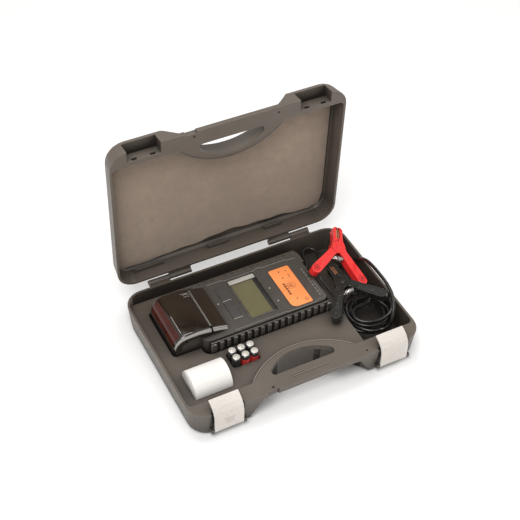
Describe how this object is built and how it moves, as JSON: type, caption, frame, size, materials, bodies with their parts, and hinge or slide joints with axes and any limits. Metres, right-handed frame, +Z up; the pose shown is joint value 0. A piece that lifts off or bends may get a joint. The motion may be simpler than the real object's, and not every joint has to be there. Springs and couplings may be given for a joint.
{
  "type": "battery tester kit",
  "caption": "Hand-held battery tester with a receipt printer and clamp leads, in a hinged carry case with spare cells and paper.",
  "frame": {"origin": "centre of the carry case's flat underside", "axes": "+Z up, +X to the right along the hinges, +Y to the hinge side, -Y to the handle and latches"},
  "size_m": [0.38, 0.3123, 0.324],
  "materials": {
    "case_plastic": "satin",
    "tester_plastic": "satin",
    "grip_rubber": "matte",
    "latch_plastic": "satin",
    "lining_foam": "matte",
    "steel": "satin",
    "copper": "satin",
    "red_plastic": "gloss",
    "black_plastic": "satin",
    "cable_sheath": "satin",
    "paper": "matte",
    "smoked_cover": "gloss",
    "lcd_glass": "gloss",
    "orange_label": "satin",
    "circuit_board": "satin",
    "cell_jacket": "gloss",
    "gear_plastic": "matte"
  },
  "bodies": {
    "case": {"case_base": "case_plastic", "insert_tray": "case_plastic", "hinge_pin_left": "steel", "hinge_pin_right": "steel", "latch_pin_left": "steel", "latch_pin_right": "steel"},
    "lid": {"case_lid": "case_plastic", "lid_lining": "lining_foam"},
    "latch_left": {"latch_left": "latch_plastic"},
    "latch_right": {"latch_right": "latch_plastic"},
    "tester": {"tester_lower_case": "tester_plastic", "tester_upper_case": "tester_plastic", "side_grip_front": "grip_rubber", "side_grip_back": "grip_rubber", "lcd_window": "lcd_glass", "lcd_module": "circuit_board", "front_label": "orange_label", "main_board": "circuit_board", "battery_holder": "tester_plastic", "battery_door": "tester_plastic", "printer_frame": "steel", "thermal_head": "circuit_board", "printer_motor": "steel", "tear_bar": "steel", "printer_bezel": "smoked_cover", "cover_hinge_pin": "steel", "black_lead_gland": "grip_rubber", "red_lead_gland": "grip_rubber", "black_lead": "cable_sheath", "black_lead_tail": "cable_sheath", "red_lead": "cable_sheath", "red_lead_tail": "cable_sheath", "lead_coil": "cable_sheath", "red_clamp_fixed_half": "red_plastic", "red_clamp_fixed_contact": "copper", "red_clamp_pin": "steel", "red_clamp_spring": "steel", "black_clamp_fixed_half": "black_plastic", "black_clamp_fixed_contact": "copper", "black_clamp_pin": "steel", "black_clamp_spring": "steel"},
    "key_back": {"key_back": "tester_plastic"},
    "key_front": {"key_front": "tester_plastic"},
    "printer_cover": {"printer_cover": "smoked_cover"},
    "platen": {"platen_roller": "grip_rubber", "platen_gear": "gear_plastic"},
    "pinion": {"motor_pinion": "gear_plastic"},
    "printer_roll": {"printer_paper_roll": "paper"},
    "red_clamp_jaw": {"red_clamp_moving_half": "red_plastic", "red_clamp_moving_contact": "copper"},
    "black_clamp_jaw": {"black_clamp_moving_half": "black_plastic", "black_clamp_moving_contact": "copper"},
    "battery_1": {"battery_1": "cell_jacket"},
    "battery_2": {"battery_2": "cell_jacket"},
    "battery_3": {"battery_3": "cell_jacket"},
    "battery_4": {"battery_4": "cell_jacket"},
    "battery_5": {"battery_5": "cell_jacket"},
    "battery_6": {"battery_6": "cell_jacket"},
    "spare_roll": {"spare_paper_roll": "paper"}
  },
  "joints": [
    {"name": "lid_hinge", "type": "hinge", "parent": "case", "child": "lid", "pos_m": [0, 0.1418, 0.049], "axis": [-1, 0, 0], "range_deg": [-88.6, 0]},
    {"name": "latch_left_hinge", "type": "hinge", "parent": "case", "child": "latch_left", "pos_m": [-0.137, -0.1346, 0.015], "axis": [1, 0, 0], "range_deg": [0, 75]},
    {"name": "latch_right_hinge", "type": "hinge", "parent": "case", "child": "latch_right", "pos_m": [0.137, -0.1346, 0.015], "axis": [1, 0, 0], "range_deg": [0, 75]},
    {"name": "tester_lift", "type": "slide", "parent": "case", "child": "tester", "axis": [0, 0, 1], "range_m": [0, 0.12]},
    {"name": "key_back_press", "type": "slide", "parent": "tester", "child": "key_back", "axis": [0, 0, -1], "range_m": [0, 0.0012], "stiffness_N_per_m": 300, "springref_m": -0.002},
    {"name": "key_front_press", "type": "slide", "parent": "tester", "child": "key_front", "axis": [0, 0, -1], "range_m": [0, 0.0012], "stiffness_N_per_m": 300, "springref_m": -0.002},
    {"name": "cover_hinge", "type": "hinge", "parent": "tester", "child": "printer_cover", "pos_m": [-0.1576, 0.043, 0.0515], "axis": [0, -1, 0], "range_deg": [0, 70]},
    {"name": "platen_spin", "type": "hinge", "parent": "tester", "child": "platen", "pos_m": [-0.105, 0.043, 0.056], "axis": [0, 1, 0], "continuous": true},
    {"name": "pinion_spin", "type": "hinge", "parent": "tester", "child": "pinion", "pos_m": [-0.09626, 0.043, 0.04558], "axis": [0, 1, 0], "continuous": true},
    {"name": "printer_roll_spin", "type": "hinge", "parent": "tester", "child": "printer_roll", "pos_m": [-0.132, 0.043, 0.0455], "axis": [0, 1, 0], "continuous": true},
    {"name": "red_clamp_open", "type": "hinge", "parent": "tester", "child": "red_clamp_jaw", "pos_m": [0.156, 0.072, 0.0586], "axis": [-0.2592, 0.2879, -0.9219], "range_deg": [0, 20], "stiffness_Nm_per_rad": 0.5, "springref_deg": -34.38},
    {"name": "black_clamp_open", "type": "hinge", "parent": "tester", "child": "black_clamp_jaw", "pos_m": [0.1275, 0.0035, 0.056], "axis": [-0.1699, 0.0248, 0.9851], "range_deg": [0, 20], "stiffness_Nm_per_rad": 0.5, "springref_deg": -34.38},
    {"name": "battery_1_lift", "type": "slide", "parent": "case", "child": "battery_1", "axis": [0, 0, 1], "range_m": [0, 0.06]},
    {"name": "battery_2_lift", "type": "slide", "parent": "case", "child": "battery_2", "axis": [0, 0, 1], "range_m": [0, 0.06]},
    {"name": "battery_3_lift", "type": "slide", "parent": "case", "child": "battery_3", "axis": [0, 0, 1], "range_m": [0, 0.06]},
    {"name": "battery_4_lift", "type": "slide", "parent": "case", "child": "battery_4", "axis": [0, 0, 1], "range_m": [0, 0.06]},
    {"name": "battery_5_lift", "type": "slide", "parent": "case", "child": "battery_5", "axis": [0, 0, 1], "range_m": [0, 0.06]},
    {"name": "battery_6_lift", "type": "slide", "parent": "case", "child": "battery_6", "axis": [0, 0, 1], "range_m": [0, 0.06]},
    {"name": "spare_roll_lift", "type": "slide", "parent": "case", "child": "spare_roll", "axis": [0, 0, 1], "range_m": [0, 0.06]}
  ],
  "couplings": [
    {"joint": "pinion_spin", "follows": "platen_spin", "ratio": -1.8333}
  ]
}
